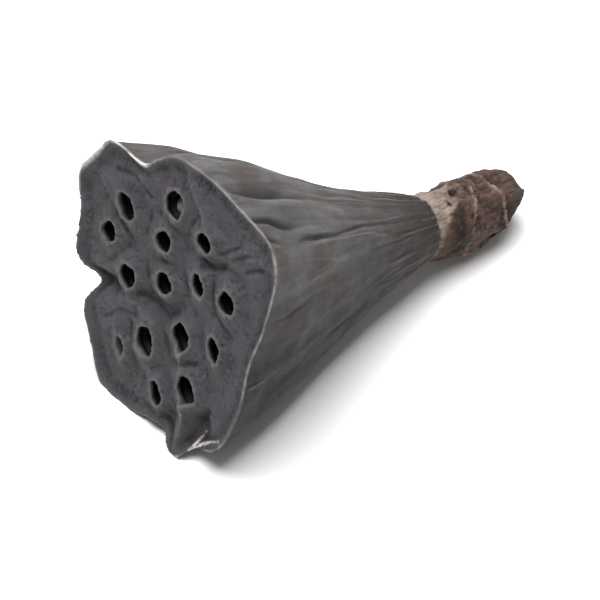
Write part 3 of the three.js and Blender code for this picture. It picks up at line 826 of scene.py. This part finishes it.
rough += sum(height * bell(along - at_along, width) for at_along, width, height in STUB_GROOVES)
rough += STUB_WRINKLE_HEIGHT * np.sin(turn * STUB_SIDE_WRINKLES + np.sin(along / 5))
rough += 0.55 * cloud(even_place, 5, seed=3)
rough -= 0.16 * creases(bark_place, 2.2, 0.18, 2, seed=4)
rough -= 0.12 * creases(even_place, 3.4, 0.12, 2, seed=5)
rough += 0.12 * cloud(even_place, 1.1, 2, seed=9)
rough = body * rough - pits - torn * 0.45 + torn * 0.22 * creases(bark_place, 0.9, 0.2, 2, seed=6)
whole = along
break_at = np.min([meets_axis - slope * radius * np.cos(turn - radians(falls_back))
                   for falls_back, slope, meets_axis in STUB_FACETS], axis=0)
along = np.minimum(whole, break_at)
broken = smoothstep(np.maximum(whole - along, along - TIP_FROM), 0.0, 1.0)
past_break = np.maximum(whole - break_at, along - TIP_FROM) + 0.7 * cloud(even_place, 2.0, seed=11)
dried_end = smoothstep(past_break, -END_COLOUR_REACHES, -0.4)
end_place = on_tube(radius, turn, along)
end_bumps = 0.6 * cloud(end_place, 3.0, 4, seed=7) + 0.22 * cloud(end_place, 0.9, 2, seed=13)
end_bumps -= 0.3 * creases(end_place, 1.6, 0.3, 2, seed=10)
settled = (radius > 1) * smoothstep(along, STUB_START, STUB_START + 0.6)
shaped = from_axis(along + end_bumps * broken * (radius > HAIR), radius + rough * settled, angle)
shaped[:, 1] += STUB_BEND * smoothstep(whole, STUB_BENDS_FROM, STUB_BENDS_UNTIL) * MM
shaped[:, 2] += STUB_RISE * smoothstep(whole, STUB_RISES_FROM, STUB_END) * MM
set_corners(stub.data, shaped)
write_attributes(
    stub, bark_place,
    edge=stands_out(stub, 3),
    hollow=stands_out(stub, 16),
    torn=torn * (1 - smoothstep(pits, 0.1, 0.4)),
    ridge=np.clip(ridge_lines, 0, 1),
    end=dried_end,
    pit=np.clip(pits * 2, 0, 1),
    dark_band=bell(along - 80.5, 2.6) * bell(turn_to(angle, 280), 46),
)
print("the stub is", (np.ptp(shaped, axis=0) / MM).round(1), "mm")


# %% [markdown]
# A lotus seed is a hard little nut, egg-shaped with a small nub at its tip. One is modelled and copied into
# every chamber at the place and size of the frame's plain seed, with its own mesh each time.

# %% Seeds
SEED_RINGS = 40
SEED_SIDES = 48
DIMPLE_DEPTH = 0.03
SEED_OUTLINE = [(-1, 0), (-0.985, 0.06), (-0.94, 0.26), (-0.84, 0.52), (-0.62, 0.79), (-0.3, 0.96), (0, 1.0),
                (0.34, 0.94), (0.66, 0.74), (0.87, 0.47), (0.96, 0.24), (1, 0)]
seed_model = spin_chain(draw_chain("seed_model", smooth_curve(SEED_OUTLINE, SEED_RINGS)), SEED_SIDES)
model_corners = corners_of(seed_model.data) / MM
seeds = []
for number in range(1, len(MOUTH_SIZES) + 1):
    node = f"seed_{number:02d}"
    cad_seed = corners_of(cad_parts[node].data) @ into_pod[:3, :3].T + into_pod[:3, 3]
    low, high = cad_seed.min(axis=0), cad_seed.max(axis=0)
    seed = seed_model.copy()
    seed.data = seed_model.data.copy()
    seed.name = f"lotus_seed_{number:02d}"
    scene.collection.objects.link(seed)
    dimples = 1 - DIMPLE_DEPTH * np.abs(cloud(model_corners, 0.8, 2, number))[:, None]
    set_corners(seed.data, (low + high) / 2 + model_corners * dimples * (high - low) / 2)
    seeds.append(seed)
bpy.data.objects.remove(seed_model)
print(len(seeds), "seeds of", len(seeds[0].data.polygons), "faces each")


# %% [markdown]
# The pieces are finished in the pod's own frame. Now they lie down into the frame on the table. Whatever
# would dip below the table is pressed flat on it, as the pod's own weight did at its three low points, and
# what reaches for the other sides of the frame's box is drawn in softly.

# %% Lay everything on the table
SQUEEZE_WITHIN = 1.2 * MM


def draw_in(values, limit):
    """Squeezes values near or past a limit into the last little way before it."""
    sign = 1 if limit > 0 else -1
    past = np.maximum(sign * values - (abs(limit) - SQUEEZE_WITHIN), 0) / SQUEEZE_WITHIN
    return np.where(past > 0, sign * (abs(limit) - SQUEEZE_WITHIN + SQUEEZE_WITHIN * np.tanh(past)), values)


for piece in [pod, stub, *seeds]:
    piece.data.transform(lie_down)
    corners = corners_of(piece.data)
    for way in range(3):
        corners[:, way] = draw_in(corners[:, way], cad_box[1][way])
    for way in range(2):
        corners[:, way] = draw_in(corners[:, way], cad_box[0][way])
    corners[:, 2] = np.maximum(corners[:, 2], 0)
    set_corners(piece.data, corners)
    piece.data.shade_smooth()
    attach(piece, "root")
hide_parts("pod")
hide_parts("stem_stub")
for number, seed in enumerate(seeds, start=1):
    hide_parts(f"seed_{number:02d}")
print("the pod touches the table with", int((corners_of(pod.data)[:, 2] < 1e-6).sum()), "corners")


# %% [markdown]
# Materials are small networks of nodes. One function adds a node with its settings and links, and one turns
# the hex colours that a painter reads off a photograph into the linear values that Blender works in.

# %% Helpers for materials
MIX_COLOURS = {"data_type": "RGBA"}


def linear(hex_colour):
    """An sRGB colour such as "4d4b4a" as linear red, green, blue and alpha."""
    values = [int(hex_colour[k:k + 2], 16) / 255 for k in (0, 2, 4)]
    return [value / 12.92 if value <= 0.04045 else ((value + 0.055) / 1.055) ** 2.4 for value in values] + [1]


def add_node(material, kind, settings=None, **inputs):
    """Adds a node. Settings are its own options; inputs are values or (node, output) links by socket name."""
    node = material.node_tree.nodes.new("ShaderNode" + kind)
    for name, value in (settings or {}).items():
        setattr(node, name, value)
    for name, value in inputs.items():
        name = name.replace("_", " ")
        socket = node.inputs[int(name[1:])] if name[0] == "n" and name[1:].isdigit() else node.inputs[name]
        if isinstance(value, tuple):
            material.node_tree.links.new(value[0].outputs[value[1]], socket)
        else:
            socket.default_value = value
    return node


def start_material(name, attributes):
    """An empty material and the ways into it: plain places on the piece, and the attributes on its mesh."""
    material = bpy.data.materials.new(name)
    material.use_nodes = True
    material.node_tree.nodes.clear()
    source = {"place": (add_node(material, "TexCoord"), "Object")}
    for attribute in attributes:
        output = "Vector" if attribute == "grain" else "Fac"
        source[attribute] = add_node(material, "Attribute", {"attribute_name": attribute}), output
    return material, source


def weave_patterns(material, source, patterns):
    """Cloudy patterns: what each lies on, the size of its patches in millimetres, its detail and grit."""
    for name, (laid_on, size_mm, detail, grit) in patterns.items():
        noise_node = add_node(material, "TexNoise", Vector=source[laid_on], Scale=1000 / size_mm,
                              Detail=detail, Roughness=grit)
        source[name] = (noise_node, 0)


def wash(material, source, colour, washes):
    """Washes of colour. The share of each grows to its most between two values of its driver."""
    for driver, start, end, most, hex_colour in washes:
        share = add_node(material, "MapRange", n0=source[driver], n1=start, n2=end, n3=0.0, n4=most)
        mixed = add_node(material, "Mix", MIX_COLOURS, n0=(share, 0), n6=colour,
                         n7=linear(hex_colour))
        colour = (mixed, 2)
    return colour


def dress(pieces, material):
    for piece in pieces:
        piece.data.materials.clear()
        piece.data.materials.append(material)
    print(material.name, "has", len(material.node_tree.nodes), "nodes")


# %% [markdown]
# A dried lotus head has a papery skin that has weathered to a warm charcoal grey: mottled with brown and
# purple in patches of a centimetre, streaked along its fibres and worn to pale grey along its edges. Its
# creases, hollows and furrows are darkened with painted shade. It is dry and matt, with a faint satin where
# fibres lie flat. Its underside is darkened with painted shade as well.

# %% Colours of the weathered skin
# Painted shade for the creases and hollows; the small dark specks share this colour.
SHADE_AND_SPECK_DARK = "191717"
EDGE_PALE = "7d7a78"
# What drives each wash, from and to which of its values it grows, its greatest share, and its colour.
CONE_WASHES = [
    ("streaks", 0.34, 0.68, 1.0, "5f5d5d"),
    ("patches", 0.46, 0.66, 0.75, "443a35"),
    ("blotches", 0.52, 0.72, 0.5, "423c40"),
    ("vein", 0.3, 1.0, 0.22, EDGE_PALE),
    # Painted shade on the underside of the cone.
    ("unbleached", 0.0, 1.0, 0.95, "1b1816"),
    ("towards_neck", 0.45, 1.0, 0.88, "1f1613"),
    # Painted shade: the furrows are darkened, as the shade that falls in them.
    ("furrow", 0.15, 1.0, 0.75, "1d191b"),
    ("edge", 0.02, 0.12, 0.35, EDGE_PALE),
    ("collar", 0.0, 1.0, 0.6, "211b18"),
]
FACE_WASHES = [
    ("blotches", 0.35, 0.64, 1.0, "444247"),
    ("patches", 0.50, 0.68, 0.5, "3b353b"),
    ("lip", 0.2, 1.0, 0.10, EDGE_PALE),
    ("edge", 0.03, 0.14, 0.22, EDGE_PALE),
]
WEAR_AND_SHADE_WASHES = [
    # Painted shade: the hollows and fine creases are darkened, as the shade that falls in them.
    ("hollow", 0.0, -0.45, 0.6, SHADE_AND_SPECK_DARK),
    ("edge", -0.01, -0.08, 0.6, SHADE_AND_SPECK_DARK),
    ("specks", 0.60, 0.72, 0.35, SHADE_AND_SPECK_DARK),
    ("worn", 0.1, 0.75, 1.0, "c4c0bb"),
    # Inside the chambers the skin is darkened nearly to black: partly their own dark colour, partly painted
    # shade.
    ("in_chamber", 0.0, 1.0, 1.0, "100e0d"),
]

skin, told = start_material("weathered_lotus_skin", [
    "grain", "on_face", "lip", "hollow", "edge", "vein", "furrow", "unbleached", "worn", "in_chamber",
    "towards_neck", "collar"])
weave_patterns(skin, told, {
    "patches": ("place", 12, 4.0, 0.6),
    "blotches": ("place", 4.5, 5.0, 0.65),
    "specks": ("place", 0.55, 3.0, 0.6),
    "streaks": ("grain", 3.2, 5.0, 0.65),
    "fine_streaks": ("grain", 0.8, 3.0, 0.6),
})
cone_colour = wash(skin, told, linear("3e3d3d"), CONE_WASHES)
face_colour = wash(skin, told, linear("302f33"), FACE_WASHES)
both = add_node(skin, "Mix", MIX_COLOURS, n0=told["on_face"], n6=cone_colour, n7=face_colour)
skin_colour = wash(skin, told, (both, 2), WEAR_AND_SHADE_WASHES)

# %% Fibres, grit and sheen of the skin
fibre_height = add_node(skin, "Mix", MIX_COLOURS, n0=told["on_face"], n6=told["fine_streaks"],
                        n7=told["specks"])
fibre_bump = add_node(skin, "Bump", Strength=0.5, Distance=0.16 * MM, Height=(fibre_height, 2))
speck_bump = add_node(skin, "Bump", Strength=0.5, Distance=0.10 * MM, Height=told["specks"],
                      Normal=(fibre_bump, 0))
dryness = add_node(skin, "MapRange", n0=told["blotches"], n1=0.3, n2=0.7, n3=0.58, n4=0.80)
shader = add_node(skin, "BsdfPrincipled", Base_Color=skin_colour, Roughness=(dryness, 0),
                  Normal=(speck_bump, 0), IOR=1.45, Specular_IOR_Level=0.4)
add_node(skin, "OutputMaterial", Surface=(shader, 0))
dress([pod], skin)


# %% [markdown]
# The stub is bark-like: dry reddish brown, furrowed, with raised ridges worn to cream and a torn patch where
# the pale fibres under the bark show. Its broken end has dried to a dark grey. Its hollows, creases and pits
# are darkened with painted shade.

# %% Bark of the stem stub
# Dark bark for the blotches, and also the painted shade in hollows, creases and pits.
BARK_DARK_AND_SHADE = "1d1411"
FIBRE_CREAM = "8c8078"
BARK_WASHES = [
    ("streaks", 0.36, 0.68, 1.0, "59453d"),
    ("blotches", 0.48, 0.66, 0.7, BARK_DARK_AND_SHADE),
    ("dark_band", 0.0, 0.9, 1.0, "24140f"),
    ("end", 0.0, 1.0, 0.75, "312f30"),
    # Painted shade: the hollows and fine creases of the bark are darkened.
    ("hollow", 0.0, -0.4, 0.7, BARK_DARK_AND_SHADE),
    ("edge", -0.01, -0.10, 0.8, BARK_DARK_AND_SHADE),
    ("ridge", 0.25, 1.0, 0.6, FIBRE_CREAM),
    ("edge", 0.04, 0.16, 0.3, FIBRE_CREAM),
]
FIBRE_WASHES = [
    ("streaks", 0.35, 0.62, 1.0, FIBRE_CREAM),
    ("blotches", 0.50, 0.68, 0.4, "5d4d44"),
    # Painted shade in the hollows of the torn fibres.
    ("hollow", 0.0, -0.4, 0.6, "3a2e28"),
]

bark, told = start_material("dried_stem_bark", [
    "grain", "edge", "hollow", "torn", "ridge", "end", "pit", "dark_band"])
weave_patterns(bark, told, {
    "streaks": ("grain", 1.6, 5.0, 0.65),
    "blotches": ("place", 4.0, 4.0, 0.6),
    "specks": ("place", 0.5, 3.0, 0.6),
})
bark_colour = wash(bark, told, linear("3b2b25"), BARK_WASHES)
fibre_colour = wash(bark, told, linear("655549"), FIBRE_WASHES)
both = add_node(bark, "Mix", MIX_COLOURS, n0=told["torn"], n6=bark_colour, n7=fibre_colour)
# Painted shade: the pits are darkened, as the shade that falls in them.
stub_colour = wash(bark, told, (both, 2), [("pit", 0.0, 1.0, 1.0, BARK_DARK_AND_SHADE)])
fibre_bump = add_node(bark, "Bump", Strength=0.5, Distance=0.2 * MM, Height=told["streaks"])
speck_bump = add_node(bark, "Bump", Strength=0.6, Distance=0.12 * MM, Height=told["specks"],
                      Normal=(fibre_bump, 0))
shader = add_node(bark, "BsdfPrincipled", Base_Color=stub_colour, Normal=(speck_bump, 0),
                  Roughness=0.78, IOR=1.45, Specular_IOR_Level=0.3)
add_node(bark, "OutputMaterial", Surface=(shader, 0))
dress([stub], bark)


# %% [markdown]
# A lotus seed's shell is hard and slightly waxy under a grey bloom of dust.

# %% Shell of the seeds
shell, told = start_material("lotus_seed_shell", [])
weave_patterns(shell, told, {"bloom": ("place", 2.5, 5.0, 0.6)})
shell_colour = wash(shell, told, linear("342e2c"), [("bloom", 0.35, 0.65, 0.9, "6d6967")])
bloom_bump = add_node(shell, "Bump", Strength=0.3, Distance=0.1 * MM, Height=told["bloom"])
shader = add_node(shell, "BsdfPrincipled", Base_Color=shell_colour, Normal=(bloom_bump, 0),
                  Roughness=0.5, IOR=1.5)
add_node(shell, "OutputMaterial", Surface=(shader, 0))
dress(seeds, shell)


# %% [markdown]
# The photograph was taken on a pale table in soft daylight. The shadow is short, soft and nearly all below
# the pod, so a large soft light hangs almost overhead, and the bright surroundings fill the rest.

# %% Floor and light
FLOOR_SIZE = 6
FLOOR_WHITE = "f4f3f2"
LIGHT_PLACE = Vector((-0.05, 0.14, 1.25))
LIGHT_SIZE = 1.3
LIGHT_POWER = 37
ROOM_BRIGHTNESS = 0.28

bpy.ops.object.select_all(action="DESELECT")
bpy.ops.mesh.primitive_plane_add(size=FLOOR_SIZE)
floor = bpy.context.object
floor.name = "floor"
paper, told = start_material("pale_table", [])
shader = add_node(paper, "BsdfPrincipled", Base_Color=linear(FLOOR_WHITE), Roughness=0.9)
add_node(paper, "OutputMaterial", Surface=(shader, 0))
dress([floor], paper)

light = bpy.data.lights.new("soft_box", "AREA")
light.size = LIGHT_SIZE
light.energy = LIGHT_POWER
lamp = bpy.data.objects.new("soft_box", light)
lamp.location = LIGHT_PLACE
lamp.rotation_euler = (LIGHT_PLACE - VIEW_CENTRE).to_track_quat("Z", "Y").to_euler()
scene.collection.objects.link(lamp)

world = bpy.data.worlds.new("bright_room")
world.use_nodes = True
background = world.node_tree.nodes["Background"]
background.inputs["Color"].default_value = (1, 1, 1, 1)
background.inputs["Strength"].default_value = ROOM_BRIGHTNESS
scene.world = world
scene.view_settings.view_transform = "Standard"
print("the soft light hangs at", [round(value, 2) for value in lamp.location], "m")
